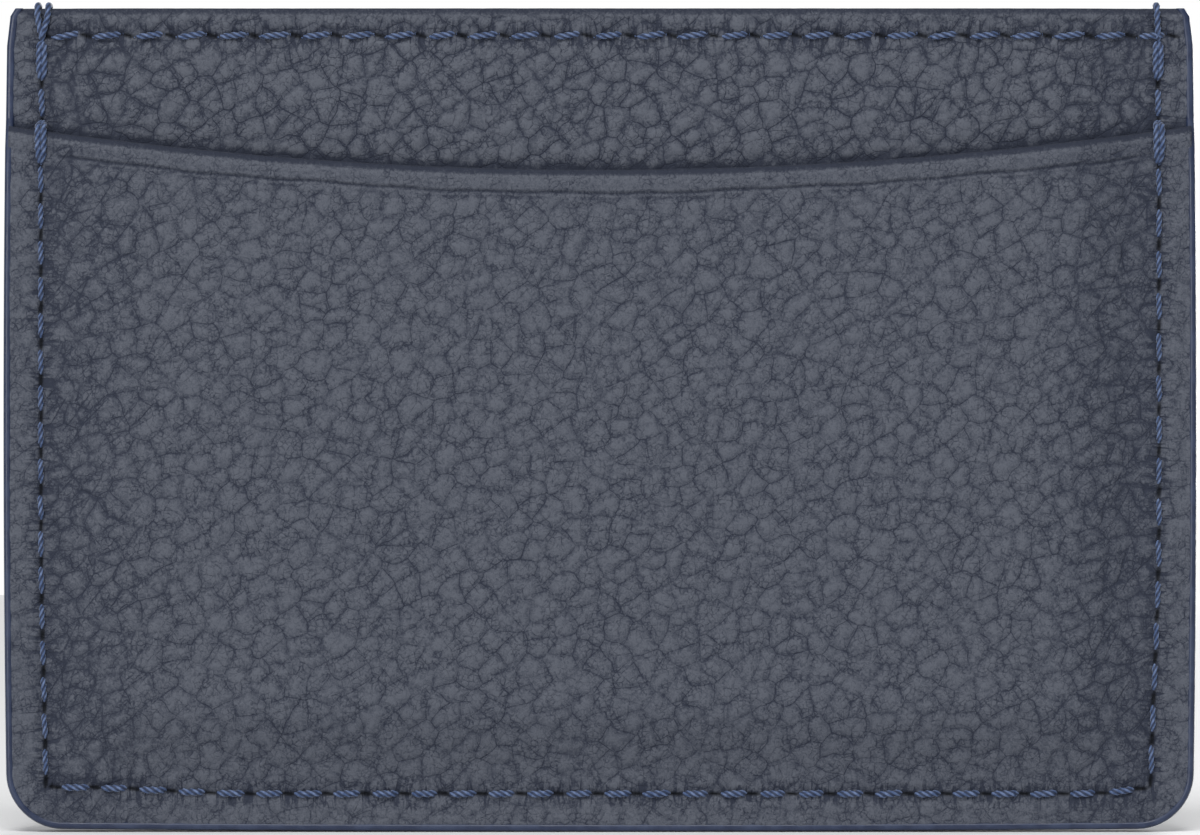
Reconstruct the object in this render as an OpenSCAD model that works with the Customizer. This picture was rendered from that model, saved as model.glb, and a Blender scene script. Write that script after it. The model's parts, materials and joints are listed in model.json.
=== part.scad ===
// Slim leather card holder, standing on its bottom edge with its pockets opening upwards.
// X runs across the holder, Z runs up and the front faces -Y. The origin is the middle of the
// bottom edge. The back half is the front half mirrored in the plane y = 0.

/* [Holder] */
// Width across the painted edges at their widest
holder_w = 100; // [92:1:110]
// Height of the turned top edge above the bottom edge
holder_h = 69; // [66:0.5:76]
// Radius of the two bottom corners
corner_r = 4.7; // [3:0.1:7]
// How far each side bows out, from its ends to its middle
side_bow = 0.3; // [0.1:0.1:0.6]

/* [Leather and lining] */
// Thickness of a leather panel
leather_t = 0.8; // [0.7:0.05:1]
// Thickness of a fabric lining
lining_t = 0.2; // [0.15:0.05:0.3]
// Depth of the leather that is turned over at a mouth
turn_depth = 8; // [7.5:0.5:10]
// Thickness of the turned flap, pared thin
flap_t = 0.3; // [0.3:0.05:0.35]
// Thickness of the tape inside a turned edge
tape_t = 0.2; // [0.1:0.05:0.2]
// Width of that tape
tape_w = 6; // [4:0.5:6.5]

/* [Pockets] */
// Room for cards inside each pocket
card_gap = 1; // [0.9:0.05:1.2]
// Height of a pocket mouth at its middle
mouth_mid_z = 55.4; // [50:0.2:57]
// How much higher the mouth is at its two ends
mouth_rise = 3.8; // [3:0.1:5]
// Width of the slope from the stitched margin up to the raised middle of a panel
slope_w = 3.4; // [2:0.2:8]

/* [Edge paint] */
// Width of the painted band
paint_w = 0.6; // [0.3:0.05:0.8]

/* [Stitching] */
// Diameter of the thread
thread_d = 0.5; // [0.4:0.05:0.55]
// Distance from the edge to the seam
seam_inset = 3.2; // [2.8:0.1:3.6]
// Distance from the top edge to the hem stitching
hem_inset = 2.3; // [1.8:0.1:3]
// Stitches along the bottom seam
bottom_stitches = 28; // [24:1:32]
// Stitches up the left seam, as far as the pocket tack
left_stitches = 17; // [14:1:19]
// Stitches up the right seam, as far as the pocket tack
right_stitches = 15; // [13:1:18]
// Stitches along each hem
hem_stitches = 27; // [24:1:30]

/* [Hidden] */

LEATHER = "#4a515f";
LINING = "#27303f";
TAPE = "#d8d4c8";
PAINT = "#2f3a52";
THREAD = "#3c5a8c";

half_w = holder_w / 2;
ply_t = leather_t + lining_t;              // a panel with its lining
body_rise = card_gap / 2;                  // lift of a body panel over half the middle pocket
pocket_rise = card_gap + body_rise;        // lift of a pocket panel over that and its own pocket
mouth_r = (half_w * half_w + mouth_rise * mouth_rise) / (2 * mouth_rise);

seam_x = half_w - seam_inset;
seam_z = seam_inset;
margin = 1.3;                              // flat leather inside the seam, before the slope
slope_x = seam_x - margin;
slope_z = seam_z + margin;

corner_hole_z = seam_z + 1.1;              // the last hole of a side seam
corner_hole_x = seam_x - 0.8;              // the last hole of the bottom seam
mouth_at_seam = mouth_mid_z + mouth_rise * (seam_x / half_w) * (seam_x / half_w);
tack_low_z = mouth_at_seam - 2.6;          // hole of the mouth tack in the pocket panel
tack_top_z = mouth_at_seam + 0.6;          // hole of the mouth tack in the body panel
upper_pitch = (holder_h - tack_top_z) / 3; // one stitch, one top tack and the wrap fill this
hem_half = seam_x - 1.3;
hem_z = holder_h - hem_inset;
stitch_share = 0.68;                       // part of a stitch's pitch that lies on the surface
inner_thread_d = 0.3;                      // the inner threads are pressed thin by the cards
inner_sink = 0.05;
strand_gap = thread_d + 0.06;              // spacing of two strands side by side

side_steps = 8;
corner_steps = 8;
reach = 10;                                // deeper than half the holder
spare = 5;                                 // how far cutting shapes run past the leather
$fn = 48;

// ---- outline and surfaces ----

function side_x(z) = half_w - side_bow * pow(2 * z / holder_h - 1, 2);

function right_half(inset) = concat(
  [for (i = [0 : corner_steps])
    let (turn = 90 * i / corner_steps - 90)
    [side_x(corner_r) - corner_r + (corner_r - inset) * cos(turn),
     corner_r + (corner_r - inset) * sin(turn)]],
  [for (i = [1 : side_steps])
    let (z = corner_r + (holder_h - corner_r) * i / side_steps)
    [side_x(z) - inset, z]],
  [[side_x(holder_h) - inset, holder_h + spare]]
);

// The holder's outline seen from the front, open-ended above the top edge
module outline(inset) {
  right = right_half(inset);
  last = len(right) - 1;
  left = [for (i = [0 : last]) [-right[last - i][0], right[last - i][1]]];
  polygon(concat(right, left));
}

// Everything below a straight top edge at height z
module below_line(z) {
  translate([-half_w - spare, -spare])
    square([holder_w + 2 * spare, z + spare]);
}

// Everything below the hollow curve of a pocket mouth, lowered by drop
module below_mouth(drop) {
  difference() {
    below_line(mouth_mid_z + mouth_rise - drop);
    translate([0, mouth_mid_z - drop + mouth_r])
      circle(r = mouth_r, $fn = 256);
  }
}

module below(curved, drop) {
  if (curved) below_mouth(drop);
  else below_line(holder_h - drop);
}

// Makes a shape drawn from the front as deep as the front half of the holder
module through_front() {
  translate([0, spare, 0])
    rotate([90, 0, 0])
      linear_extrude(reach + spare)
        children();
}

// Space from behind the middle plane out to a surface that lies flat round the margin and
// rises by rise over the middle, with a slope on three sides
module under_surface(depth, rise) {
  intersection() {
    translate([0, 0, -spare])
      linear_extrude(holder_h + 2 * spare)
        polygon([
          [-half_w - spare, spare],
          [half_w + spare, spare],
          [half_w + spare, -depth],
          [slope_x, -depth],
          [slope_x - slope_w, -depth - rise],
          [slope_w - slope_x, -depth - rise],
          [-slope_x, -depth],
          [-half_w - spare, -depth]
        ]);
    translate([-half_w - spare, 0, 0])
      rotate([90, 0, 90])
        linear_extrude(holder_w + 2 * spare)
          polygon([
            [spare, -spare],
            [spare, holder_h + spare],
            [-depth - rise, holder_h + spare],
            [-depth - rise, slope_z + slope_w],
            [-depth, slope_z],
            [-depth, -spare]
          ]);
  }
}

module layer(depth_in, depth_out, rise) {
  difference() {
    under_surface(depth_out, rise);
    under_surface(depth_in, rise);
  }
}

// ---- plies of one panel; base is the depth of its inner face ----

module lining_ply(base, rise, curved) {
  intersection() {
    layer(base, base + lining_t, rise);
    through_front()
      intersection() {
        outline(paint_w);
        below(curved, turn_depth);
      }
  }
}

module tape_ply(base, rise, curved) {
  fold_t = ply_t - flap_t - tape_t;
  intersection() {
    layer(base + flap_t, base + flap_t + tape_t, rise);
    through_front()
      intersection() {
        outline(paint_w);
        difference() {
          below(curved, fold_t);
          below(curved, fold_t + tape_w);
        }
      }
  }
}

// Leather, turned over the tape at its top and reaching down to the lining
module leather_ply(base, rise, curved) {
  difference() {
    intersection() {
      layer(base, base + ply_t, rise);
      through_front()
        intersection() {
          outline(paint_w);
          below(curved, 0);
        }
    }
    lining_ply(base, rise, curved);
    tape_ply(base, rise, curved);
  }
}

// ---- stitches; each is a straight length of thread, half sunk in the leather ----

module upright_stitch(x, depth, z_low, z_high) {
  length = (z_high - z_low) * stitch_share;
  translate([x, -depth, (z_low + z_high) / 2])
    cylinder(d = thread_d, h = length, center = true);
}

// lean turns the stitch outwards towards +X, in degrees
module level_stitch(x, depth, z, pitch, d, lean = 0) {
  translate([x, -depth, z])
    rotate([0, 90, -lean])
      cylinder(d = d, h = pitch * stitch_share, center = true);
}

module seam_column(x, count) {
  pitch = (tack_low_z - corner_hole_z) / count;
  for (i = [0 : count - 1])
    upright_stitch(x, 2 * ply_t, corner_hole_z + i * pitch, corner_hole_z + (i + 1) * pitch);
}

module pocket_seam_stitches() {
  seam_column(-seam_x, left_stitches);
  seam_column(seam_x, right_stitches);
  pitch = 2 * corner_hole_x / bottom_stitches;
  for (i = [0 : bottom_stitches - 1])
    level_stitch((i + 0.5) * pitch - corner_hole_x, 2 * ply_t, seam_z, pitch, thread_d);
}

module body_seam_stitches() {
  for (x = [-seam_x, seam_x])
    upright_stitch(x, ply_t, tack_top_z, tack_top_z + upper_pitch);
}

// Height of a body panel's surface above its margin, at one place along the hem
function lift_at(x) = body_rise * max(0, min(1, (slope_x - abs(x)) / slope_w));

module hem_row(depth, d) {
  pitch = 2 * hem_half / hem_stitches;
  end = pitch * stitch_share / 2;
  for (i = [0 : hem_stitches - 1])
    let (
      x = (i + 0.5) * pitch - hem_half,
      low = lift_at(x - end),
      high = lift_at(x + end)
    )
    level_stitch(x, depth + (low + high) / 2, hem_z, pitch, d, atan2(high - low, 2 * end));
}

module hem_outer_row() {
  hem_row(ply_t, thread_d);
}

module hem_inner_row() {
  hem_row(inner_sink, inner_thread_d);
}

// Two strands that step from the body panel over the pocket mouth on to the pocket panel
module mouth_tack(x) {
  body_y = -ply_t;
  pocket_y = -2 * ply_t;
  edge_z = mouth_at_seam + 0.1;
  for (side = [-1, 1])
    translate([x + (side * strand_gap - thread_d) / 2, 0, 0])
      rotate([90, 0, 90])
        linear_extrude(thread_d)
          polygon([
            [pocket_y, tack_low_z],
            [pocket_y, edge_z],
            [body_y, edge_z],
            [body_y, edge_z + thread_d],
            [pocket_y - thread_d / 2, edge_z + thread_d],
            [pocket_y - thread_d, edge_z + thread_d / 2],
            [pocket_y - thread_d, tack_low_z]
          ]);
}

// Strands that run up the front, over the top edge and down the back
module top_wrap(x, loops) {
  face_y = ply_t;
  low_z = holder_h - 2 * upper_pitch + 0.5;
  outer_y = face_y + thread_d;
  outer_z = holder_h + thread_d;
  soft = thread_d / 2;
  for (i = [0 : loops - 1])
    translate([x + (i - (loops - 1) / 2) * strand_gap - thread_d / 2, 0, 0])
      rotate([90, 0, 90])
        linear_extrude(thread_d)
          polygon([
            [-outer_y, low_z],
            [-outer_y, outer_z - soft],
            [soft - outer_y, outer_z],
            [outer_y - soft, outer_z],
            [outer_y, outer_z - soft],
            [outer_y, low_z],
            [face_y, low_z],
            [face_y, holder_h],
            [-face_y, holder_h],
            [-face_y, low_z]
          ]);
}

// ---- whole pieces, drawn for the front half ----

module pocket_panel() {
  color(LEATHER)
    difference() {
      leather_ply(ply_t, pocket_rise, true);
      pocket_seam_stitches();
    }
}

module pocket_lining() {
  color(LINING) lining_ply(ply_t, pocket_rise, true);
}

module pocket_tape() {
  color(TAPE) tape_ply(ply_t, pocket_rise, true);
}

module body_panel() {
  color(LEATHER)
    difference() {
      leather_ply(0, body_rise, false);
      body_seam_stitches();
      hem_outer_row();
      hem_inner_row();
    }
}

module body_lining() {
  color(LINING) lining_ply(0, body_rise, false);
}

module body_tape() {
  color(TAPE) tape_ply(0, body_rise, false);
}

module seam_stitches() {
  color(THREAD) {
    pocket_seam_stitches();
    body_seam_stitches();
  }
}

// A band round the sides and bottom, thinner above the pocket mouths
module edge_paint() {
  color(PAINT)
    difference() {
      rotate([90, 0, 0])
        linear_extrude(4 * ply_t, center = true)
          difference() {
            intersection() {
              outline(0);
              below_line(holder_h);
            }
            outline(paint_w);
          }
      for (side = [-1, 1])
        translate([-half_w - spare, side * (ply_t + reach / 2) - reach / 2, 0])
          translate([0, 0, mouth_mid_z + mouth_rise])
            cube([holder_w + 2 * spare, reach, holder_h]);
    }
}

module at_back() {
  mirror([0, 1, 0]) children();
}

pocket_panel();  // front_pocket_panel
pocket_lining();  // front_pocket_lining
pocket_tape();  // front_pocket_tape
body_panel();  // front_body_panel
body_lining();  // front_body_lining
body_tape();  // front_body_tape
at_back() body_panel();  // back_body_panel
at_back() body_lining();  // back_body_lining
at_back() body_tape();  // back_body_tape
at_back() pocket_panel();  // back_pocket_panel
at_back() pocket_lining();  // back_pocket_lining
at_back() pocket_tape();  // back_pocket_tape
edge_paint();
seam_stitches();  // front_seam_stitches
at_back() seam_stitches();  // back_seam_stitches
color(THREAD) hem_outer_row();  // front_hem_stitches
color(THREAD) hem_inner_row();  // front_hem_inner_stitches
at_back() color(THREAD) hem_outer_row();  // back_hem_stitches
at_back() color(THREAD) hem_inner_row();  // back_hem_inner_stitches
color(THREAD) mouth_tack(-seam_x);  // front_left_mouth_tack
color(THREAD) mouth_tack(seam_x);  // front_right_mouth_tack
at_back() color(THREAD) mouth_tack(-seam_x);  // back_left_mouth_tack
at_back() color(THREAD) mouth_tack(seam_x);  // back_right_mouth_tack
color(THREAD) top_wrap(-seam_x, 2);  // left_top_wrap
color(THREAD) top_wrap(seam_x, 1);  // right_top_wrap
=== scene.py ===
"""A slim card holder in grained navy leather: four panels, their linings and tapes, edge paint
and stitching. It stands on its bottom edge; its front faces -Y. All lengths are in metres."""

import json
import math
import random

import bpy
import numpy as np
from mathutils import Matrix, Vector


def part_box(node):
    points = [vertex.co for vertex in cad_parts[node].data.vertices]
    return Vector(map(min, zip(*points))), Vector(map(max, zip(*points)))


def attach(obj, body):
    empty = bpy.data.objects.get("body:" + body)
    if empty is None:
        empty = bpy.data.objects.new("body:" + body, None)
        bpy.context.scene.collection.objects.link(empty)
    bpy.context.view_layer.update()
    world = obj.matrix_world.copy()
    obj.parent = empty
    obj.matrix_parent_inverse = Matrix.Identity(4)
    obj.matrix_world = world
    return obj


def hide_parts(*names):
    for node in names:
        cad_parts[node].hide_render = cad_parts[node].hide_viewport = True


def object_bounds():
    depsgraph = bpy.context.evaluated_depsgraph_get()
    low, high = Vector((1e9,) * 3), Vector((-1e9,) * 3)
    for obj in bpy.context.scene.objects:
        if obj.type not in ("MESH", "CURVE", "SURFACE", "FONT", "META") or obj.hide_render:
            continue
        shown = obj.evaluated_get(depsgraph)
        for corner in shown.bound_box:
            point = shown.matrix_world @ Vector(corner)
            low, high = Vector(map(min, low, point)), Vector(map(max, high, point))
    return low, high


MM = 0.001
FRONT, BACK = -1, 1

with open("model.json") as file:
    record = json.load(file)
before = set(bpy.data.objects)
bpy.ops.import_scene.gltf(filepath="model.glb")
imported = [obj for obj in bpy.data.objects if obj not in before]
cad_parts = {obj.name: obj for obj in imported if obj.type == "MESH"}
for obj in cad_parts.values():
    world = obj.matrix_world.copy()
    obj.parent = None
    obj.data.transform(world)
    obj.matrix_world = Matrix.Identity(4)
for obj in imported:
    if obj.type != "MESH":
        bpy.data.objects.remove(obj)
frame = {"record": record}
cad_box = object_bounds()
mounts = {m["name"]: m["pos_m"] for m in frame["record"]["mounts"]}

# ---- sizes, taken from the frame ----

HALF_W = cad_box[1].x
TOP_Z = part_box("edge_paint")[1].z
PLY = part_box("edge_paint")[1].y / 2  # a panel with its lining
BODY_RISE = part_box("back_body_panel")[1].y - PLY
POCKET_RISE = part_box("back_pocket_panel")[1].y - 2 * PLY
LINING_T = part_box("back_body_lining")[1].y - BODY_RISE
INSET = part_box("front_body_panel")[0].z  # where the leather ends inside the edge paint
THREAD_R = (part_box("right_top_wrap")[1].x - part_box("right_top_wrap")[0].x) / 2
SEAM_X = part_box("front_seam_stitches")[1].x - THREAD_R
SEAM_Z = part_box("front_seam_stitches")[0].z + THREAD_R
HEM_Z = (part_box("front_hem_stitches")[0].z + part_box("front_hem_stitches")[1].z) / 2
MOUTH_Z = mounts["front_pocket"][2]
MOUTH_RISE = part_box("front_pocket_panel")[1].z - MOUTH_Z

# ---- sizes that the frame doesn't give ----

CORNER_R = 4.7 * MM
SIDE_BOW = 0.3 * MM
BOTTOM_BOW = 0.25 * MM
FOLD_R = PLY / 2
TURN = 8 * MM  # depth of leather turned in at a mouth
TAPE_W = 6 * MM
TAPE_T = 0.16 * MM
CREASE_DROP = 1.95 * MM  # from a pocket mouth down to its creased line
SLOPE_START = 0.7 * MM  # from a seam in to the foot of the slope
SLOPE_W = 7 * MM  # from there up to the raised middle of a panel
PAINT_W = 0.78 * MM  # how far the paint covers the faces
PAINT_T = 0.07 * MM
TUCK = 0.25 * MM  # how far the leather's edge reaches into the paint

GRAIN_HEIGHT = 0.18 * MM
PRESSED_SEAM = 0.18 * MM  # how far the thread draws the leather down along a seam
HOLE_DEPTH = 0.2 * MM

LEFT_STITCHES, RIGHT_STITCHES, BOTTOM_STITCHES, HEM_STITCHES = 17, 15, 28, 27
STITCH_SHARE = 0.54  # part of a stitch's pitch that shows as thread
STITCH_R = 1.15 * THREAD_R  # the lobes of the twisted plies stand a little proud
TWIST_PITCH = 2.0 * MM  # length in which the plies of the thread turn once
STITCH_SUNK, INNER_SUNK = 0.06 * MM, 0.12 * MM  # how far a stitch sinks into the leather
SEAM_BULK, BOTTOM_BULK, INNER_BULK = 0.88, 1.08, 0.6  # thickness against the usual stitch

# ---- steps of the meshes ----

MESH_STEP, FINE_STEP = 0.34 * MM, 0.11 * MM  # on a panel's face, and along its seams and folds
HIDDEN_STEP = 3 * MM  # where another panel covers the face
FOLD_STEPS, FLAP_STEPS, BACK_STEPS = 8, 4, 12
WELD = 0.001 * MM  # points closer than this are merged

# ---- colours ----

# Crease and pebble-top colours of the leather; the spread between them is partly the grain's own
# colour and partly painted shade of the relief.
LEATHER_DARK, LEATHER_LIGHT = (0.024, 0.029, 0.046, 1), (0.092, 0.101, 0.125, 1)
NEEDLE_HOLE_SHADE = (0.003, 0.004, 0.007, 1)
PAINT_DARK, PAINT_LIGHT = (0.015, 0.024, 0.058, 1), (0.028, 0.041, 0.085, 1)
PAINT_RIM = (0.13, 0.18, 0.28, 1)
DYE_DARK, DYE_LIGHT = (0.042, 0.075, 0.17, 1), (0.125, 0.175, 0.31, 1)
THREAD_GROOVE_SHADE = (0.006, 0.01, 0.028, 1)
LINING_DARK, LINING_LIGHT = (0.012, 0.016, 0.03, 1), (0.03, 0.04, 0.07, 1)
TAPE_DARK, TAPE_LIGHT = (0.5, 0.48, 0.43, 1), (0.68, 0.66, 0.6, 1)
FLOOR_DARK, FLOOR_LIGHT = (0.93, 0.93, 0.93, 1), (0.97, 0.97, 0.97, 1)

MADE_AS = {
    "leather": "skin",
    "lining": "cloth",
    "tape": "strip",
    "edge_paint": "bead",
    "thread": "strands",
}


# ---- nodes ----


class Nodes:
    """Short calls for the nodes that materials and the grain share."""

    def __init__(self, tree):
        self.tree = tree

    def add(self, kind, inputs=None, **settings):
        node = self.tree.nodes.new(kind)
        for key, value in settings.items():
            setattr(node, key, value)
        for key, value in (inputs or {}).items():
            self.put(node.inputs[key], value)
        return node

    def put(self, socket, value):
        if isinstance(value, bpy.types.NodeSocket):
            self.tree.links.new(value, socket)
        else:
            socket.default_value = value

    def maths(self, operation, *values):
        return self.add("ShaderNodeMath", dict(enumerate(values)), operation=operation).outputs[0]

    def plus(self, *values):
        total = values[0]
        for value in values[1:]:
            total = self.maths("ADD", total, value)
        return total

    def times(self, *values):
        total = values[0]
        for value in values[1:]:
            total = self.maths("MULTIPLY", total, value)
        return total

    def vector(self, operation, *values):
        node = self.add("ShaderNodeVectorMath", operation=operation)
        names = (0, "Scale") if operation == "SCALE" else range(3)
        for key, value in zip(names, values):
            self.put(node.inputs[key], value)
        return node.outputs[0]

    def ease(self, value, low, high, to_low=0.0, to_high=1.0):
        ends = {"From Min": low, "From Max": high, "To Min": to_low, "To Max": to_high}
        inputs = {"Value": value, **ends}
        return self.add("ShaderNodeMapRange", inputs, interpolation_type="SMOOTHSTEP").outputs[0]

    def noise(self, place, scale, detail=2.0, roughness=0.5, dimensions="3D", distortion=0.0):
        inputs = {"Vector": place, "Scale": scale, "Detail": detail, "Roughness": roughness}
        inputs["Distortion"] = distortion
        return self.add("ShaderNodeTexNoise", inputs, noise_dimensions=dimensions)

    def net(self, place, scale):
        """Distance to the nearest line of an irregular net drawn on the holder's face."""
        inputs = {"Vector": place, "Scale": scale, "Randomness": 0.85}
        settings = {"feature": "DISTANCE_TO_EDGE", "voronoi_dimensions": "2D"}
        return self.add("ShaderNodeTexVoronoi", inputs, **settings).outputs["Distance"]

    def mix(self, share, first, second):
        node = self.add("ShaderNodeMix", data_type="RGBA")
        for key, value in ((0, share), (6, first), (7, second)):
            self.put(node.inputs[key], value)
        return node.outputs[2]


def on_face(n, place):
    """A place's position on the holder's face; the back has a part of the hide to itself."""
    parts = n.add("ShaderNodeSeparateXYZ", {"Vector": place}).outputs
    across = n.plus(parts[0], n.times(n.maths("GREATER_THAN", parts[1], 0.0), 0.3))
    return n.add("ShaderNodeCombineXYZ", {"X": across, "Y": parts[2]}).outputs[0]


def drawn_out(n, spot, angle, share):
    """The spot turned and squeezed, so that what is drawn from it is longer in one direction."""
    inputs = {"Vector": spot, "Angle": angle}
    turned = n.add("ShaderNodeVectorRotate", inputs, rotation_type="Z_AXIS")
    return n.vector("MULTIPLY", turned.outputs[0], (share, 1.0, 1.0))


def wandering(n, spot, scale, reach):
    """The spot moved about by noise, so that lines drawn from it bend."""
    wander = n.noise(spot, scale, 1.0, 0.4, "2D").outputs["Color"]
    either_way = n.vector("SUBTRACT", wander, (0.5, 0.5, 0.5))
    return n.vector("ADD", spot, n.vector("SCALE", either_way, reach))


def patchy(n, spot, scale, low=0.0):
    """A share that comes and goes from place to place."""
    return n.ease(n.noise(spot, scale, 1.0, dimensions="2D").outputs[0], 0.36, 0.64, low, 1.0)


def crease(n, distance, width):
    """1 on a net's line, fading to 0 at a width from it."""
    return n.ease(distance, 0.0, width, 1.0, 0.0)


def pebbles(n, place):
    """Domed pebbles and the creases between them: 1 on top of a pebble, 0 in a deep crease."""
    spot = drawn_out(n, on_face(n, place), -0.6, 0.84)
    wide = n.net(wandering(n, spot, 500.0, 0.9 * MM), 560.0)
    shifted = n.vector("ADD", spot, (0.013, 0.007, 0))
    narrow = n.net(wandering(n, shifted, 700.0, 0.8 * MM), 860.0)
    wide_dome = n.times(n.ease(wide, -0.12, 0.4), 0.36)
    narrow_dome = n.times(n.ease(narrow, -0.1, 0.4), 0.15)
    domes = n.plus(wide_dome, narrow_dome)
    deep = n.times(crease(n, wide, 0.034), patchy(n, spot, 330.0, 0.35), -0.34)
    shallow = n.times(crease(n, narrow, 0.04), patchy(n, spot, 450.0, 0.1), -0.24)
    return n.plus(0.49, domes, deep, shallow)


def wrinkles(n, place):
    """Short fine wrinkles across the pebbles: 1 in a wrinkle."""
    spot = on_face(n, place)
    edge = n.net(wandering(n, spot, 1200.0, 0.5 * MM), 1900.0)
    return n.times(crease(n, edge, 0.16), patchy(n, spot, 600.0))


def slanting_folds(n, place):
    """Longer creases that slant up to the right: 1 in a crease."""
    spot = on_face(n, place)
    folds = drawn_out(n, spot, -0.9, 0.36)
    edge = n.net(wandering(n, folds, 350.0, 1.0 * MM), 640.0)
    return n.times(crease(n, edge, 0.06), patchy(n, spot, 300.0))


def puckers(n, place, stretch):
    """Short creases that run out from a line of stitches, longer along X or Y as it says."""
    spot = n.vector("MULTIPLY", on_face(n, place), stretch)
    return n.ease(n.noise(spot, 2300.0, 1.0, 0.6, "2D", 0.6).outputs[0], 0.54, 0.66)


# ---- materials ----


def new_material(name, **shader):
    """A material with its node helper, its shader and its object coordinates."""
    made = bpy.data.materials.new(name)
    made.use_nodes = True
    n = Nodes(made.node_tree)
    bsdf = made.node_tree.nodes["Principled BSDF"]
    for key, value in shader.items():
        bsdf.inputs[key.replace("_", " ")].default_value = value
    place = n.add("ShaderNodeTexCoord").outputs["Object"]
    return made, n, bsdf, place


def attribute(n, name):
    return n.add("ShaderNodeAttribute", attribute_name=name).outputs["Fac"]


def relief(n, bsdf, height, distance, strength):
    inputs = {"Height": height, "Distance": distance, "Strength": strength}
    n.put(bsdf.inputs["Normal"], n.add("ShaderNodeBump", inputs).outputs[0])


def grained_leather():
    """Height is 0 in a deep crease and 1 on a pebble; where there is no grain, it is even."""
    made, n, bsdf, place = new_material(
        "grained_navy_leather", Specular_IOR_Level=0.15, Sheen_Weight=0.03, Sheen_Roughness=0.5
    )
    amount = attribute(n, "grain")
    even = n.times(n.plus(1.0, n.times(amount, -1.0)), 0.85)
    grain = n.plus(n.times(pebbles(n, place), amount), even)
    creased = n.times(slanting_folds(n, place), attribute(n, "strain_and_slope_shade"))
    # Painted shade: darkens the tone along the seams, on the folds at the top edges and just above
    # the pockets' mouths; it also darkens the creased line below each mouth.
    creased_and_shaded = attribute(n, "crease_and_shade")
    fine = n.times(wrinkles(n, place), 0.3)
    from_sides = n.times(puckers(n, place, (0.22, 1.0, 1.0)), attribute(n, "side_pucker"), -0.6)
    from_rows = n.times(puckers(n, place, (1.0, 0.22, 1.0)), attribute(n, "level_pucker"), -0.6)
    hair = n.noise(place, 3000.0, 3.0, 0.75, distortion=1.2).outputs[0]
    cloudy = n.noise(place, 160.0, 2.0).outputs[0]
    height = n.plus(grain, n.times(fine, -1.0), n.times(creased, -0.34), n.times(creased_and_shaded, -0.8))
    height = n.plus(height, from_sides, from_rows)
    speckle = n.times(n.plus(hair, -0.5), 2.0)
    # Painted shade: darker on the slopes near the side seams, where the panel turns away from the
    # light.
    painted_slope_shade = n.times(attribute(n, "strain_and_slope_shade"), -0.2)
    # The tone follows the height: pebble tops lighter, creases, wrinkles and folds darker. This is
    # partly the grain's own colour and partly painted shade, for light on the domes and shade in the
    # creases.
    tone = n.plus(height, speckle, painted_slope_shade, n.times(n.plus(cloudy, -0.5), 0.12))
    hide = n.mix(n.ease(tone, 0.05, 1.15), LEATHER_DARK, LEATHER_LIGHT)
    # Painted shade: near black in the needle holes.
    n.put(bsdf.inputs["Base Color"], n.mix(attribute(n, "pit_and_shade"), hide, NEEDLE_HOLE_SHADE))
    n.put(bsdf.inputs["Roughness"], n.ease(height, 0.2, 1.0, 0.75, 0.52))
    relief(n, bsdf, n.plus(n.times(height, 0.8), n.times(hair, 0.3)), 0.13 * MM, 0.8)
    return made


def edge_paint_finish():
    made, n, bsdf, place = new_material(
        "navy_edge_paint", Specular_IOR_Level=0.35, Coat_Weight=0.08, Coat_Roughness=0.3
    )
    mottle = n.noise(place, 700.0, 3.0).outputs[0]
    paint = n.mix(n.ease(mottle, 0.35, 0.7), PAINT_DARK, PAINT_LIGHT)
    n.put(bsdf.inputs["Base Color"], n.mix(attribute(n, "rim"), paint, PAINT_RIM))
    n.put(bsdf.inputs["Roughness"], n.ease(mottle, 0.3, 0.7, 0.34, 0.48))
    waves = n.plus(mottle, n.times(n.noise(place, 2600.0).outputs[0], 0.3))
    relief(n, bsdf, waves, 0.12 * MM, 0.5)
    return made


def waxed_thread():
    made, n, bsdf, place = new_material(
        "waxed_blue_thread", Specular_IOR_Level=0.3, Sheen_Weight=0.25, Sheen_Roughness=0.4
    )
    uneven = n.noise(place, 2400.0).outputs[0]
    fibres = n.noise(place, 9000.0, 2.0, 0.7).outputs[0]
    dye = n.mix(n.ease(uneven, 0.3, 0.7), DYE_DARK, DYE_LIGHT)
    # Painted shade: darker in the grooves between the twisted plies.
    groove = n.ease(attribute(n, "ply_groove_shade"), 0.2, 0.75)
    n.put(bsdf.inputs["Base Color"], n.mix(groove, dye, THREAD_GROOVE_SHADE))
    n.put(bsdf.inputs["Roughness"], n.ease(fibres, 0.3, 0.7, 0.5, 0.7))
    relief(n, bsdf, fibres, 0.05 * MM, 0.6)
    return made


def woven(name, dark, light, ribs_per_metre):
    made, n, bsdf, place = new_material(name, Roughness=0.85, Sheen_Weight=0.2)
    weave = {"Vector": place, "Scale": ribs_per_metre, "Distortion": 0.6, "Detail": 1.0}
    twill = n.add("ShaderNodeTexWave", weave, bands_direction="DIAGONAL").outputs[1]
    n.put(bsdf.inputs["Base Color"], n.mix(twill, dark, light))
    relief(n, bsdf, twill, 0.08 * MM, 0.7)
    return made


# ---- shape of the holder ----


def ramp(t):
    """0 below 0 and 1 above 1, with a smooth rise between."""
    t = np.clip(t, 0, 1)
    return t * t * (3 - 2 * t)


def half_width(z):
    """Half the holder's width at a height: bowed sides, drawn in at the top corners."""
    drawn_in = 0.65 * MM * np.clip((z - TOP_Z) / (1.7 * MM) + 1, 0, 1) ** 2
    return HALF_W - SIDE_BOW * (2 * z / TOP_Z - 1) ** 2 - drawn_in


def bowed_up(x, z):
    """Heights near the bottom edge, which rises a little towards its ends."""
    return z + BOTTOM_BOW * (x / HALF_W) ** 2 * ramp(1 - z / (12 * MM))


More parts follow.
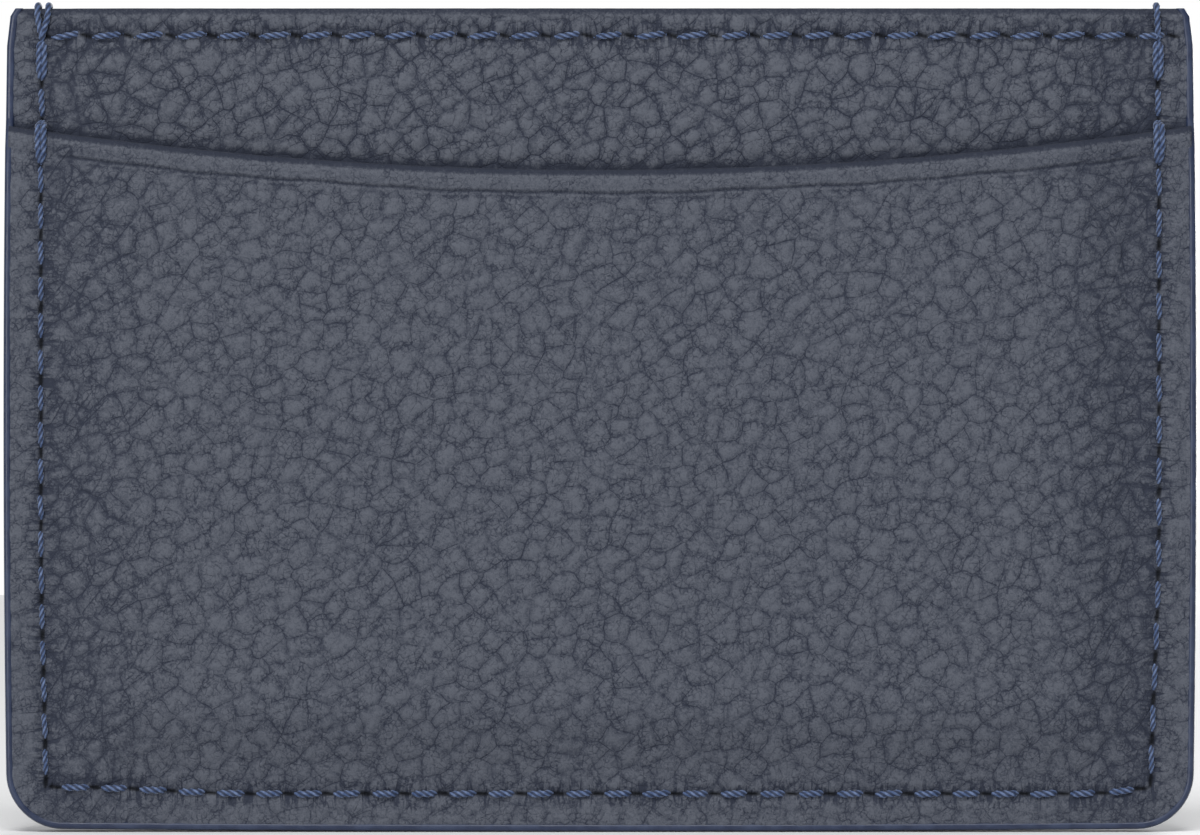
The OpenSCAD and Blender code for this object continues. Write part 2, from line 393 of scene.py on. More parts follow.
def lift(x, z):
    """How far a panel is raised over the cards' room, from 0 at the seam to 1 in the middle."""
    across = ramp((SEAM_X - SLOPE_START - abs(x)) / SLOPE_W)
    upright = ramp((z - SEAM_Z - SLOPE_START) / SLOPE_W)
    return across * upright * (1 - 0.12 * (x / HALF_W) ** 2)


def mouth(x):
    """Height of a pocket's mouth."""
    return MOUTH_Z + MOUTH_RISE * (x / (HALF_W - INSET)) ** 2


def hem(x):
    """Height of a body panel's top edge, which is straight."""
    return TOP_Z + 0 * x


def placed(x, z, inset):
    """Rounds the bottom corners of a rectangle of the holder's size, inset, and bows its edges."""
    side, r = HALF_W - inset, CORNER_R - inset
    s = np.clip((abs(x) - side + r) / r, 0, 1)
    t = np.clip((inset + r - z) / r, 0, 1)
    corner = (s > 0) & (t > 0)
    round_x = np.sign(x) * (side - r + r * s * np.sqrt(1 - t * t / 2))
    round_z = inset + r - r * t * np.sqrt(1 - s * s / 2)
    x, z = np.where(corner, round_x, x), np.where(corner, round_z, z)
    x = x * (half_width(z) - inset) / side
    return x, bowed_up(x, z)


def follow_top(x, z, top):
    """Heights near a panel's top follow its curved edge, and those near the bottom stay level."""
    middle_top = top(0.0)
    return z + (top(x) - middle_top) * ramp((z - 12 * MM) / (middle_top - 18 * MM))


def stations(low, high, step, fine_step, fine_places):
    """Positions from low to high that come closer together near each fine place."""
    found = [low]
    while found[-1] < high - fine_step / 2:
        away = min(abs(found[-1] - p) for p in fine_places)
        found.append(found[-1] + fine_step + (step - fine_step) * ramp((away - 0.4 * MM) / MM))
    found[-1] = high
    return np.array(found)


# ---- stitch holes ----

CORNER_Z = SEAM_Z + 1.1 * MM  # the lowest hole of a side seam
CORNER_X = SEAM_X - 0.8 * MM  # the outermost hole of the bottom seam, before it draws in
TACK_LOW = mouth(SEAM_X) - 2.6 * MM  # the tack's hole in the pocket panel
TACK_TOP = mouth(SEAM_X) + 0.6 * MM  # the tack's hole in the body panel
UPPER_PITCH = (TOP_Z - TACK_TOP) / 2.75  # of the stitch and the top tack above the mouth
HEM_START, HEM_END = 0.3 * MM - SEAM_X, SEAM_X + 1.2 * MM
HEM_SLANT, SEAM_SLANT, BOTTOM_SLANT = 0.13, 0.03, 0.04  # the angle of a stitch to its row
LEFT_DRIFT, RIGHT_DRIFT = 0.45 * MM, 0.75 * MM  # how far the side seams draw in, low down


def bottom_line(x):
    """Height of the bottom seam, which rises a little towards both corners."""
    left = 0.55 * MM * ramp((-x - 29 * MM) / (15 * MM))
    return SEAM_Z + left + 0.45 * MM * ramp((x - 41 * MM) / (5 * MM))


def side_line(x, z):
    """A side seam's distance from the middle: low down, the seams draw in to the corners."""
    return SEAM_X - np.where(x < 0, LEFT_DRIFT, RIGHT_DRIFT) * ramp(1 - z / (26 * MM))


def row(start, end, stitches, slant):
    """A run of stitches: its holes from start to end, and the angle of its stitches."""
    xs, zs = (np.linspace(a, b, stitches + 1) for a, b in zip(start, end))
    return list(zip(xs, zs)), slant


def side_row(x, stitches):
    holes, slant = row((x, CORNER_Z), (x, TACK_LOW), stitches, SEAM_SLANT)
    return [(math.copysign(float(side_line(x, z)), x), z) for _, z in holes], slant


def bottom_row():
    start, end = (LEFT_DRIFT - CORNER_X, 0), (CORNER_X - RIGHT_DRIFT, 0)
    holes, slant = row(start, end, BOTTOM_STITCHES, BOTTOM_SLANT)
    return [(x, float(bottom_line(x))) for x, _ in holes], slant


left_seam = side_row(-SEAM_X, LEFT_STITCHES)
right_seam = side_row(SEAM_X, RIGHT_STITCHES)
bottom_seam = bottom_row()
hem_row = row((HEM_START, HEM_Z), (HEM_END, HEM_Z), HEM_STITCHES, HEM_SLANT)
upper_left, upper_right = (
    row((x, TACK_TOP), (x, TACK_TOP + UPPER_PITCH), 1, SEAM_SLANT) for x in (-SEAM_X, SEAM_X)
)


def slits(x, z, runs):
    """How much a place lies in a needle hole: 1 in the middle of the slit between stitches, which is
    sunk and painted near black as the shade inside the hole.
    """
    pit_and_shade = np.zeros_like(x)
    for holes, slant in runs:
        for (hx, hz), (ax, az), (bx, bz) in zip(holes, holes[:1] + holes, holes[1:] + holes[-1:]):
            turn = math.atan2(bz - az, bx - ax) - 2 * slant
            along = (x - hx) * math.cos(turn) + (z - hz) * math.sin(turn)
            across = (z - hz) * math.cos(turn) - (x - hx) * math.sin(turn)
            slit = np.exp(-((along / (0.66 * MM)) ** 4) - (across / (0.18 * MM)) ** 2)
            pit_and_shade = np.maximum(pit_and_shade, slit)
    return pit_and_shade


def beyond(value, low, high):
    """How far a value is outside its range, or 0."""
    return np.maximum(0, np.maximum(low - value, value - high))


def pocket_seams(x, z):
    """Distances to the side seams and to the bottom seam of a pocket panel."""
    side = np.hypot(abs(x) - side_line(x, z), beyond(z, CORNER_Z, TACK_LOW + 1.5 * MM))
    return side, np.hypot(z - bottom_line(x), beyond(x, -CORNER_X, CORNER_X))


def body_seams(x, z):
    """Distances to the side seams and to the hem row of a body panel."""
    return abs(abs(x) - SEAM_X), np.hypot(z - HEM_Z, beyond(x, HEM_START, HEM_END))


def near(distance, reach):
    """1 at no distance, fading to nothing at about twice the reach."""
    return np.exp(-((distance / reach) ** 2))


# ---- making meshes ----


def deselect():
    bpy.ops.object.select_all(action="DESELECT")


def places(piece):
    found = np.empty(len(piece.data.vertices) * 3)
    piece.data.vertices.foreach_get("co", found)
    return found.reshape(-1, 3)


def move_to(piece, x, y, z):
    piece.data.vertices.foreach_set("co", np.stack([x, y, z], 1).ravel())
    piece.data.update()


def store(piece, name, values):
    layer = piece.data.attributes.new(name, "FLOAT", "POINT")
    layer.data.foreach_set("value", np.asarray(values, np.float32))


def edit(piece, chosen):
    """Goes to edit mode with the vertices of a true or false list selected."""
    bpy.ops.object.mode_set(mode="EDIT")
    bpy.ops.mesh.select_mode(type="VERT")
    bpy.ops.mesh.select_all(action="DESELECT")
    bpy.ops.object.mode_set(mode="OBJECT")
    piece.data.vertices.foreach_set("select", chosen)
    bpy.ops.object.mode_set(mode="EDIT")


def extrude(x, y, z):
    bpy.ops.mesh.extrude_region_move(TRANSFORM_OT_translate={"value": (x, y, z)})


def face_grid(name, y, across, heights):
    """An upright grid at one depth, its columns and rows moved to the given places."""
    deselect()
    columns, rows = len(across) - 1, len(heights) - 1
    bpy.ops.mesh.primitive_grid_add(
        x_subdivisions=columns, y_subdivisions=rows, size=1, rotation=(math.pi / 2, 0, 0)
    )
    bpy.ops.object.transform_apply(rotation=True)
    piece = bpy.context.object
    piece.name = piece.data.name = name
    x, _, z = places(piece).T
    x = np.interp(x, np.linspace(-0.5, 0.5, columns + 1), across)
    z = np.interp(z, np.linspace(-0.5, 0.5, rows + 1), heights)
    move_to(piece, x, np.full_like(x, y), z)
    return piece


def finish_faces():
    """In edit mode: merges what meets, and faces everything outwards."""
    bpy.ops.mesh.select_all(action="SELECT")
    bpy.ops.mesh.remove_doubles(threshold=WELD)
    bpy.ops.mesh.select_all(action="SELECT")
    bpy.ops.mesh.normals_make_consistent(inside=False)
    bpy.ops.object.mode_set(mode="OBJECT")
    bpy.ops.object.shade_smooth()


def apply_all(piece):
    bpy.context.view_layer.objects.active = piece
    for modifier in list(piece.modifiers):
        bpy.ops.object.modifier_apply(modifier=modifier.name)


def raise_grain(piece, height):
    """Lifts the mesh into pebbles with the same grain that its material shows."""
    tree = bpy.data.node_groups.new("raise_grain", "GeometryNodeTree")
    for side in ("INPUT", "OUTPUT"):
        tree.interface.new_socket("Geometry", in_out=side, socket_type="NodeSocketGeometry")
    n = Nodes(tree)
    start, end = n.add("NodeGroupInput"), n.add("NodeGroupOutput")
    place = n.add("GeometryNodeInputPosition").outputs[0]

    def named(name):
        kept = n.add("GeometryNodeInputNamedAttribute", {"Name": name}, data_type="FLOAT")
        return kept.outputs[0]

    swell = n.times(n.plus(n.noise(place, 85.0, 1.0).outputs[0], -0.5), 1.2)
    grain = n.times(n.plus(pebbles(n, place), -0.8), named("grain"))
    folds = n.times(slanting_folds(n, place), named("strain_and_slope_shade"), -0.5)
    length = n.times(n.plus(grain, folds, n.times(swell, named("grain"))), height)
    offset = n.vector("SCALE", n.add("GeometryNodeInputNormal").outputs[0], length)
    moved = n.add("GeometryNodeSetPosition", {"Geometry": start.outputs[0], "Offset": offset})
    n.put(end.inputs[0], moved.outputs[0])
    piece.modifiers.new("grain", "NODES").node_group = tree
    apply_all(piece)
    bpy.data.node_groups.remove(tree)


def finish_piece(piece, material, slot, node):
    """Gives a piece its finish and its own name, and puts it in its node's place."""
    piece.name = piece.data.name = node + "_" + MADE_AS[slot]
    piece.data.materials.clear()
    piece.data.materials.append(material)
    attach(piece, "root")
    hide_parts(node)
    return piece


# ---- leather panels ----


def turned_wall(name, side, base, middle_top, seen_from):
    """A flat panel: its face, the fold at its top, the flap turned in, and its back."""
    edge, fold_z = HALF_W - INSET + TUCK, middle_top - FOLD_R
    across = stations(-edge, edge, MESH_STEP, FINE_STEP, [-SEAM_X, SEAM_X])
    fine_rows = [SEAM_Z, middle_top - CREASE_DROP, fold_z, HEM_Z]
    bottom = INSET - TUCK
    heights = stations(bottom, fold_z, MESH_STEP, FINE_STEP, fine_rows)
    covered = np.arange(bottom, seen_from, HIDDEN_STEP)
    heights = np.append(covered, heights[heights > seen_from])
    piece = face_grid(name, side * (base + PLY), across, heights)
    edit(piece, places(piece)[:, 2] > fold_z - 0.01 * MM)
    centre = (0, side * (base + FOLD_R), fold_z)
    bpy.ops.mesh.spin(steps=FOLD_STEPS, angle=-side * math.pi, center=centre, axis=(1, 0, 0))
    for _ in range(FLAP_STEPS):
        extrude(0, 0, (FOLD_R - TURN) / FLAP_STEPS)
    extrude(0, side * LINING_T, -0.1 * MM)
    drop = middle_top - TURN - 0.1 * MM - bottom
    for _ in range(BACK_STEPS):
        extrude(0, 0, -drop / BACK_STEPS)
    extrude(0, side * (PLY - LINING_T), 0)
    bpy.ops.mesh.select_all(action="SELECT")
    bpy.ops.mesh.remove_doubles(threshold=WELD)
    bpy.ops.mesh.fill_holes(sides=0)
    finish_faces()
    return piece


def creased_line(x, below_top, outside):
    """The line pressed in below a pocket's mouth: its darkening (partly the crease's own mark,
    partly painted shade in its groove), its relief and the grain it leaves.
    """
    wavy = np.sin(x / (2.9 * MM)) + np.sin(x / (1.1 * MM) + 1) + np.sin(x / (7 * MM) + 2)
    line = below_top - CREASE_DROP - 0.05 * MM * wavy
    groove = np.exp(-((line / (0.13 * MM)) ** 2))
    second = 0.5 * np.exp(-(((line - 0.42 * MM) / (0.13 * MM)) ** 2)) * (wavy > -0.5)
    faded = np.where(outside, 1 - ramp((abs(x) - SEAM_X + 3 * MM) / (3 * MM)), 0)
    crease_and_shade = 0.6 * faded * np.maximum(groove, second)
    roll = np.sin(math.pi * np.clip(below_top / CREASE_DROP, 0, 1)) * 0.1 * MM
    height = np.where(outside, roll, 0) - 0.14 * MM * groove * faded
    band = 0.25 + 0.75 * ramp((below_top - CREASE_DROP) / (0.5 * MM))
    return crease_and_shade, height, np.where(outside, band, 1)


def mouth_contact_shade(x, z, outside):
    """Painted shade on the body panel just above the pocket's mouth, where the pocket stands in
    front of it.
    """
    above_mouth = z - mouth(x)
    contact_shade = np.exp(-((above_mouth / (0.5 * MM)) ** 2))
    return np.where(outside & (above_mouth > -MM), contact_shade, 0)


def leather_panel(name, side, base, rise, top, seams, runs, creased, seen_from, material):
    """A panel raised over the cards' room, drawn down at its seams, holed and grained."""
    piece = turned_wall(name, side, base, top(0.0), seen_from)
    x, y, z = places(piece).T
    depth = side * y - base
    outside = depth > 0.99 * PLY
    z = follow_top(x, z, top)
    below_top = top(x) - z
    x, z = placed(x, z, INSET - TUCK)

    pit_and_shade = np.where(outside, slits(x, z, runs), 0)
    side_seam, level_seam = seams(x, z)
    drawn = np.where(outside, near(np.minimum(side_seam, level_seam), 0.6 * MM), 0)
    shape = rise * lift(x, z) - PRESSED_SEAM * drawn - HOLE_DEPTH * pit_and_shade
    side_margin = ramp((abs(x) - SEAM_X + 1.2 * MM) / (1.2 * MM))
    margin = np.maximum(side_margin, ramp((SEAM_Z + 1.2 * MM - z) / (1.2 * MM)))
    grain = np.where(outside, 1 - 0.25 * margin, 0.25)
    near_top = ramp((below_top - 0.4 * MM) / (0.9 * MM))
    grain *= 0.35 + 0.65 * near_top
    # Painted shade: darker on the rounded fold at the panel's top, which turns away from the light,
    # and a little darker along the seams' drawn-down grooves.
    fold_shade = ramp(1 - (below_top - 0.35 * MM) / (0.3 * MM))
    crease_and_shade = np.maximum(0.2 * drawn, (0.95 if creased else 0.75) * fold_shade)
    if creased:
        line_press, line_height, band = creased_line(x, below_top, outside)
        crease_and_shade = np.maximum(crease_and_shade, line_press)
        shape += line_height
        grain *= band
    else:
        # Painted shade just above the pocket's mouth.
        crease_and_shade = np.maximum(crease_and_shade, 0.85 * mouth_contact_shade(x, z, outside))
        grain *= 1.35
    to_seam = SEAM_X - abs(x)
    # This zone sets the slanting folds and also the painted shade on the slopes near the side seams.
    strain_and_slope_shade = 0.25 + 1.1 * ramp(1 - to_seam / (13 * MM)) * ramp(to_seam / (0.8 * MM))
    strain_and_slope_shade *= near_top
    store(piece, "grain", grain)
    store(piece, "side_pucker", np.where(outside, near(side_seam, 1.1 * MM), 0))
    store(piece, "level_pucker", np.where(outside, near(level_seam, 1.1 * MM), 0))
    # Painted shade inside the needle holes.
    store(piece, "pit_and_shade", np.clip(pit_and_shade * 1.7 - 0.3, 0, 1))
    # The creased line and the painted shades along seams, folds and mouths.
    store(piece, "crease_and_shade", crease_and_shade)
    store(piece, "strain_and_slope_shade", np.where(outside, strain_and_slope_shade, 0))
    move_to(piece, x, side * (base + depth + shape), z)
    raise_grain(piece, GRAIN_HEIGHT)
    return finish_piece(piece, material, "leather", name)


# ---- linings and tapes ----


def thin_ply(name, side, base, depth, thickness, rise, top, low, high):
    """A closed thin ply that follows a panel between two distances below its top edge."""
    inset = INSET + 0.05 * MM
    edge = HALF_W - inset
    heights = np.linspace(low, high, max(8, round((high - low) / MM)))
    piece = face_grid(name, 0, np.linspace(-edge, edge, 100), heights)
    x, _, z = places(piece).T
    x, z = placed(x, follow_top(x, z, top), inset)
    move_to(piece, x, side * (base + depth + rise * lift(x, z)), z)
    solidify = piece.modifiers.new("thickness", "SOLIDIFY")
    solidify.thickness = thickness
    solidify.offset = 0
    apply_all(piece)
    bpy.ops.object.mode_set(mode="EDIT")
    finish_faces()
    return piece


def lining(name, side, base, rise, top, cloth):
    """A lining glued behind a panel, from the bottom edge up to the turned leather."""
    high = top(0.0) - TURN - 0.15 * MM
    depth, thickness = LINING_T / 2, LINING_T - 0.04 * MM
    piece = thin_ply(name, side, base, depth, thickness, rise, top, INSET, high)
    finish_piece(piece, cloth, "lining", name)
    width, height = 2 * (HALF_W - INSET), top(HALF_W - INSET) - TURN - INSET
    area = width * (high + (top(HALF_W - INSET) - top(0.0)) / 3 - INSET)
    return piece


def tape(name, side, base, rise, top, cloth):
    """A reinforcing tape between a panel and its turned leather."""
    high = top(0.0) - FOLD_R
    piece = thin_ply(name, side, base, 0.4 * MM, TAPE_T, rise, top, high - TAPE_W, high)
    return finish_piece(piece, cloth, "tape", name)


# ---- edge paint ----


def edge_paint(material):
    """One bead round both sides and the bottom: one half is drawn round, then mirrored."""
    deselect()
    middle = HALF_W - PAINT_W / 2
    bpy.ops.mesh.primitive_circle_add(vertices=32, radius=1, location=(-middle, 0, TOP_Z))
    piece = bpy.context.object
    piece.name = piece.data.name = "edge_paint"
    piece.scale = (PAINT_W / 2, 2 * PLY + PAINT_T, 1)
    bpy.ops.object.transform_apply(location=True, scale=True)
    edit(piece, [True] * len(piece.data.vertices))
    side_z = stations(CORNER_R, TOP_Z, 2.5 * MM, 0.15 * MM, [mouth(HALF_W), TOP_Z])
    for drop in np.diff(side_z)[::-1]:
        extrude(0, 0, -drop)
    centre = (-HALF_W + CORNER_R, 0, CORNER_R)
    bpy.ops.mesh.spin(steps=14, angle=math.pi / 2, center=centre, axis=(0, 1, 0))
    for _ in range(20):
        extrude((HALF_W - CORNER_R) / 20, 0, 0)
    bpy.ops.object.mode_set(mode="OBJECT")
    mirror = piece.modifiers.new("other_half", "MIRROR")
    mirror.merge_threshold = 0.01 * MM
    apply_all(piece)
    bpy.ops.object.mode_set(mode="EDIT")
    bpy.ops.mesh.select_all(action="SELECT")
    bpy.ops.mesh.fill_holes(sides=0)
    finish_faces()

    x, y, z = places(piece).T
    out_x = np.maximum(abs(x) - HALF_W + CORNER_R, 0)
    out_z = np.maximum(CORNER_R - z, 0)
    inwards = CORNER_R - np.hypot(out_x, out_z)
    across = 1 - inwards / (PAINT_W / 2)  # 1 at the outer edge, -1 at the inner
    around = y / (2 * PLY + PAINT_T)
    squarer = 0.55
    fuller = np.sign(across) * abs(across) ** squarer * PAINT_W / 2
    shift = fuller - across * PAINT_W / 2
    away = np.maximum(np.hypot(out_x, out_z), 1e-9)
    x, z = x + np.sign(x) * out_x / away * shift, z - out_z / away * shift
    step = ramp((mouth(HALF_W) + 0.15 * MM - z) / (0.4 * MM))
    y = np.sign(around) * abs(around) ** squarer * (PLY + PLY * step + PAINT_T)
    store(piece, "rim", 0.3 * ramp((-across - 0.78) / 0.15))
    x = x * half_width(z) / HALF_W
    move_to(piece, x, y, bowed_up(x, z))
    return finish_piece(piece, material, "edge_paint", "edge_paint")


# ---- thread ----


def twisted_strand(length, radius):
    """A straight three-ply strand along X: a nine-sided cylinder, its valleys sunk, twisted."""
    deselect()
    bpy.ops.mesh.primitive_cylinder_add(
        vertices=9, radius=radius, depth=length, rotation=(0, math.pi / 2, 0)
    )
    bpy.ops.object.transform_apply(rotation=True)
    strand = bpy.context.object
    ends = places(strand)[:, 0]
    reaches = [abs(ends[e.vertices[0]] - ends[e.vertices[1]]) for e in strand.data.edges]
    long_edges = [reach > length / 2 for reach in reaches]
    edit(strand, [False] * len(ends))
    bpy.ops.mesh.select_mode(type="EDGE")
    bpy.ops.object.mode_set(mode="OBJECT")
    strand.data.edges.foreach_set("select", long_edges)
    bpy.ops.object.mode_set(mode="EDIT")
    bpy.ops.mesh.subdivide(number_cuts=max(5, round(length / (0.22 * MM))))
    bpy.ops.object.mode_set(mode="OBJECT")
    x, y, z = places(strand).T
    angle = np.arctan2(z, y)
    valley = (1 - np.cos(3 * (angle - angle[0]))) / 2
    # The valleys between the plies are marked for painted shade in the thread's material.
    store(strand, "ply_groove_shade", valley * 0.8)
    move_to(strand, x, y * (1 - 0.28 * valley), z * (1 - 0.28 * valley))
    twist = strand.modifiers.new("twist", "SIMPLE_DEFORM")
    twist.deform_method, twist.deform_axis = "TWIST", "X"
    twist.angle = length / TWIST_PITCH * 2 * math.pi
    apply_all(strand)
    bpy.ops.object.shade_smooth()
    return strand


def stitch_pattern(pitch, bulk):
    """One stitch along X: a strand whose two ends dive into their holes."""
    strand = twisted_strand(pitch * STITCH_SHARE + 0.75 * MM, STITCH_R * bulk)
    x, y, z = places(strand).T
    dive = np.clip((abs(x) - pitch * STITCH_SHARE / 2 + 0.25 * MM) / (0.6 * MM), 0, 1) ** 1.6
    slim = 1 - 0.3 * dive
    move_to(strand, x, y * slim, z * slim - dive * 0.6 * MM)
    return strand


def join(name, parts):
    deselect()
    for part in parts:
        part.select_set(True)
    bpy.context.view_layer.objects.active = parts[0]
    bpy.ops.object.join()
    parts[0].name = parts[0].data.name = name
    return parts[0]


def stitch_run(run, side, base, rise, chance, sunk=STITCH_SUNK, bulk=1.0):
    """Copies of one stitch between each hole and the next, each a little different."""
    holes, slant = run
    pattern = stitch_pattern(math.dist(holes[0], holes[1]), bulk)
    made = []
    for (x0, z0), (x1, z1) in zip(holes, holes[1:]):
        x, z = (x0 + x1) / 2, (z0 + z1) / 2
        turn = math.atan2(z1 - z0, x1 - x0) + slant + chance.gauss(0, 0.025)
        depth = base + PLY + rise * float(lift(x, z)) - sunk + chance.gauss(0, 0.02 * MM)
        along = Vector((math.cos(turn), 0, math.sin(turn)))
        out = Vector((0, side, 0))
        to_place = Matrix((along, out.cross(along), out)).transposed().to_4x4()
        stretch = Matrix.Diagonal((chance.uniform(0.95, 1.04), 1, 1, 1))
        copy = pattern.copy()
        copy.data = pattern.data.copy()
        bpy.context.scene.collection.objects.link(copy)
        copy.data.transform(Matrix.Translation((x, side * depth, z)) @ to_place @ stretch)
        made.append(copy)
    bpy.data.objects.remove(pattern)
    return made


def strand_along(points):
    """A twisted strand laid along a smooth curve through points."""
    curve = bpy.data.curves.new("path", "CURVE")
    curve.dimensions = "3D"
    spline = curve.splines.new("NURBS")
    spline.points.add(len(points) - 1)
    for point, place in zip(spline.points, points):
        point.co = (*place, 1)
    spline.use_endpoint_u = True
    spline.order_u = 3
    spline.resolution_u = 12
    path = bpy.data.objects.new("path", curve)
    bpy.context.scene.collection.objects.link(path)
    length = spline.calc_length()
    strand = twisted_strand(length, STITCH_R)
    strand.data.transform(Matrix.Translation((length / 2, 0, 0)))
    modifier = strand.modifiers.new("along", "CURVE")
    modifier.object = path
    apply_all(strand)
    bpy.data.objects.remove(path)
    bpy.data.curves.remove(curve)
    return strand


def mouth_tack(x, side):
    """Two strands that climb from the body panel over the pocket's mouth."""
    edge = mouth(x)
    made = []
    for offset in (-0.24 * MM, 0.24 * MM):
        points = [
            (x + offset * 0.4, side * (PLY - 0.5 * MM), edge + 0.75 * MM),
            (x + offset * 0.7, side * (PLY + 0.1 * MM), edge + 0.5 * MM),
            (x + offset, side * (PLY + 0.75 * MM), edge + 0.42 * MM),
            (x + offset, side * (2 * PLY + 0.1 * MM), edge + 0.15 * MM),
            (x + offset, side * (2 * PLY + 0.12 * MM), edge - 0.8 * MM),
            (x + offset, side * (2 * PLY + 0.1 * MM), edge - 1.6 * MM),
            (x + offset * 0.7, side * (2 * PLY - 0.05 * MM), edge - 2.3 * MM),
            (x + offset * 0.3, side * (2 * PLY - 0.6 * MM), edge - 2.75 * MM),
        ]
        made.append(strand_along(points))
    return made


def top_wrap(x, offsets):
    """Strands from the last front hole over the top edge to the last back hole."""
    hole = TACK_TOP + 2 * UPPER_PITCH
    made = []
    for offset in offsets:
        front = [
            (x, -(PLY - 0.5 * MM), hole - 0.1 * MM),
            (x, -(PLY + 0.05 * MM), hole + 0.3 * MM),
            (x + offset * 0.6, -(PLY + 0.15 * MM), hole + 1.2 * MM),
            (x + offset, -(PLY + 0.12 * MM), TOP_Z - 0.5 * MM),
            (x + offset, -(PLY * 0.8), TOP_Z + 0.22 * MM),
            (x + offset, -PLY * 0.2, TOP_Z + 0.3 * MM),
        ]
        points = front + [(px, -py, pz) for px, py, pz in reversed(front)]
        made.append(strand_along(points))
    return made


def top_tack(x, side):
    """The doubled stitch below a wrap."""
    low, high = TACK_TOP + UPPER_PITCH, TACK_TOP + 2 * UPPER_PITCH
    out = PLY + 0.02 * MM
    made = []
    for offset in (-0.22 * MM, 0.22 * MM):
        points = [
            (x + offset * 0.4, side * (PLY - 0.55 * MM), low + 0.3 * MM),
            (x + offset * 0.8, side * (out - 0.1 * MM), low + 0.5 * MM),
            (x + offset, side * out, low + 1.2 * MM),
            (x + offset, side * out, high - 1.0 * MM),
            (x + offset * 0.8, side * (out - 0.1 * MM), high - 0.4 * MM),
            (x + offset * 0.4, side * (PLY - 0.55 * MM), high - 0.2 * MM),
        ]
        made.append(strand_along(points))
    return made


def stitching(side, word, thread, chance):
    """All the thread on one face of the holder."""
    seam = []
    for run, bulk in ((left_seam, SEAM_BULK), (right_seam, SEAM_BULK), (bottom_seam, BOTTOM_BULK)):
        seam += stitch_run(run, side, PLY, 0, chance, bulk=bulk)
    for run in (upper_left, upper_right):
        seam += stitch_run(run, side, 0, 0, chance)
    name = word + "_seam_stitches"
    finish_piece(join(name, seam), thread, "thread", name)
    name = word + "_hem_stitches"
    outer = stitch_run(hem_row, side, 0, BODY_RISE, chance)
    finish_piece(join(name, outer), thread, "thread", name)
    name = word + "_hem_inner_stitches"
    inner = stitch_run(hem_row, -side, -PLY, -BODY_RISE, chance, INNER_SUNK, INNER_BULK)
    finish_piece(join(name, inner), thread, "thread", name)
    for x, hand in ((-SEAM_X, "left"), (SEAM_X, "right")):
        name = f"{word}_{hand}_mouth_tack"
        finish_piece(join(name, mouth_tack(x, side)), thread, "thread", name)


# ---- the whole holder ----


def build_half(side, word, leather, lining_cloth, tape_cloth):
    """The panels of one side with their linings and tapes."""
    body, pocket = word + "_body", word + "_pocket"
    body_runs = (upper_left, upper_right, hem_row)
    pocket_runs = (left_seam, right_seam, bottom_seam)
    leather_panel(
        body + "_panel", side, 0, BODY_RISE, hem, body_seams, body_runs, False, 50 * MM, leather
    )
    leather_panel(
        pocket + "_panel", side, PLY, POCKET_RISE, mouth, pocket_seams, pocket_runs, True, 0, leather
    )
    lining(body + "_lining", side, 0, BODY_RISE, hem, lining_cloth)
    lining(pocket + "_lining", side, PLY, POCKET_RISE, mouth, lining_cloth)
    tape(body + "_tape", side, 0, BODY_RISE, hem, tape_cloth)
    tape(pocket + "_tape", side, PLY, POCKET_RISE, mouth, tape_cloth)


def build_holder():
    leather = grained_leather()
    thread = waxed_thread()
    lining_cloth = woven("navy_twill", LINING_DARK, LINING_LIGHT, 700.0)
    tape_cloth = woven("pale_tape", TAPE_DARK, TAPE_LIGHT, 900.0)
    chance = random.Random(7)
    for side, word in ((FRONT, "front"), (BACK, "back")):
        build_half(side, word, leather, lining_cloth, tape_cloth)
        stitching(side, word, thread, chance)
    edge_paint(edge_paint_finish())
    left = top_wrap(-SEAM_X, (-0.35 * MM, 0.55 * MM))
    right = top_wrap(SEAM_X, (-0.1 * MM,))
    for side in (FRONT, BACK):
        left += top_tack(-SEAM_X, side)
        right += top_tack(SEAM_X, side)
    finish_piece(join("left_top_wrap", left), thread, "thread", "left_top_wrap")
    finish_piece(join("right_top_wrap", right), thread, "thread", "right_top_wrap")


# ---- studio ----


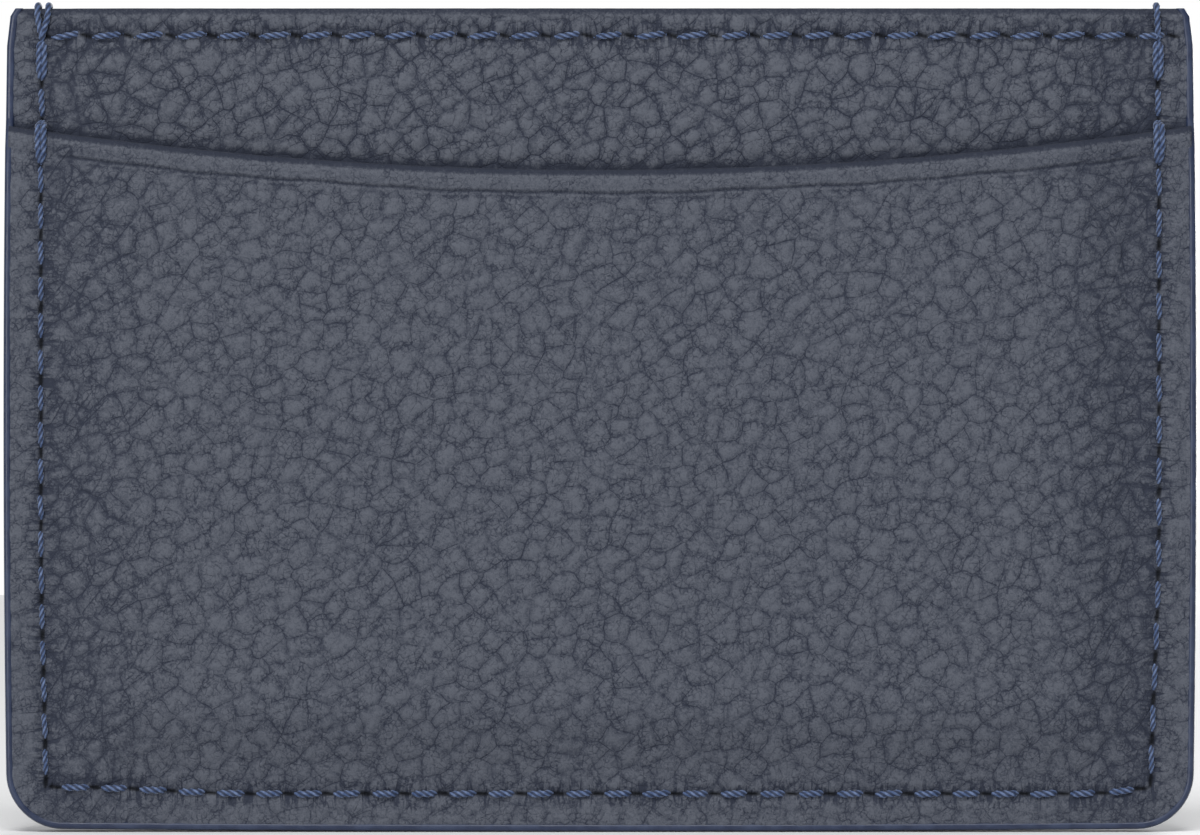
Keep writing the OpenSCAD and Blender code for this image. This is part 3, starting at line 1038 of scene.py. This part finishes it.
def softbox(name, place, size, power):
    """A square lamp that faces the middle of the holder."""
    light = bpy.data.lights.new(name, "AREA")
    light.shape = "SQUARE"
    light.size = size
    light.energy = power
    lamp = bpy.data.objects.new(name, light)
    lamp.location = place
    aim = Vector((0, 0, TOP_Z / 2)) - Vector(place)
    lamp.rotation_euler = aim.to_track_quat("-Z", "Y").to_euler()
    bpy.context.scene.collection.objects.link(lamp)


def white_surroundings():
    """A white room: bright where the camera sees it, dimmer in the light that it gives."""
    world = bpy.data.worlds.new("white_room")
    world.use_nodes = True
    n = Nodes(world.node_tree)
    seen = n.add("ShaderNodeBackground", {"Color": (1, 1, 1, 1), "Strength": 1.0})
    felt = n.add("ShaderNodeBackground", {"Color": (0.95, 0.97, 1, 1), "Strength": 0.25})
    mix = n.add("ShaderNodeMixShader")
    n.put(mix.inputs[0], n.add("ShaderNodeLightPath").outputs["Is Camera Ray"])
    n.put(mix.inputs[1], felt.outputs[0])
    n.put(mix.inputs[2], seen.outputs[0])
    n.put(world.node_tree.nodes["World Output"].inputs["Surface"], mix.outputs[0])
    bpy.context.scene.world = world
    bpy.context.scene.view_settings.view_transform = "Standard"


def pale_floor():
    deselect()
    bpy.ops.mesh.primitive_plane_add(size=1.6)
    floor = bpy.context.object
    floor.name = "floor"
    made, n, bsdf, place = new_material("pale_floor", Roughness=0.8)
    speck = n.noise(place, 40.0, 3.0).outputs[0]
    n.put(bsdf.inputs["Base Color"], n.mix(speck, FLOOR_DARK, FLOOR_LIGHT))
    floor.data.materials.append(made)


def camera():
    """Level with the middle of the holder and square to its front, from well back."""
    distance = 0.6
    seen_width = 100.42 * MM
    face_y = cad_box[0].y + 1.5 * MM
    lens = bpy.data.cameras.new("camera")
    lens.sensor_width = 36
    lens.lens = lens.sensor_width * distance / seen_width
    lens.clip_start = 0.01
    eye = bpy.data.objects.new("camera", lens)
    eye.location = (0, face_y - distance, 34.7 * MM)
    eye.rotation_euler = (math.pi / 2, 0, 0)
    bpy.context.scene.collection.objects.link(eye)
    bpy.context.scene.camera = eye


camera()
white_surroundings()
pale_floor()
softbox("front_left_softbox", (-1.0, -1.9, 0.25), 0.6, 16.5)
softbox("front_right_softbox", (0.9, -2.0, 0.25), 0.6, 1)
softbox("above_softbox", (-0.1, -0.9, 1.3), 0.8, 17)
softbox("back_softbox", (0.5, 2.0, 0.3), 0.8, 24)
build_holder()
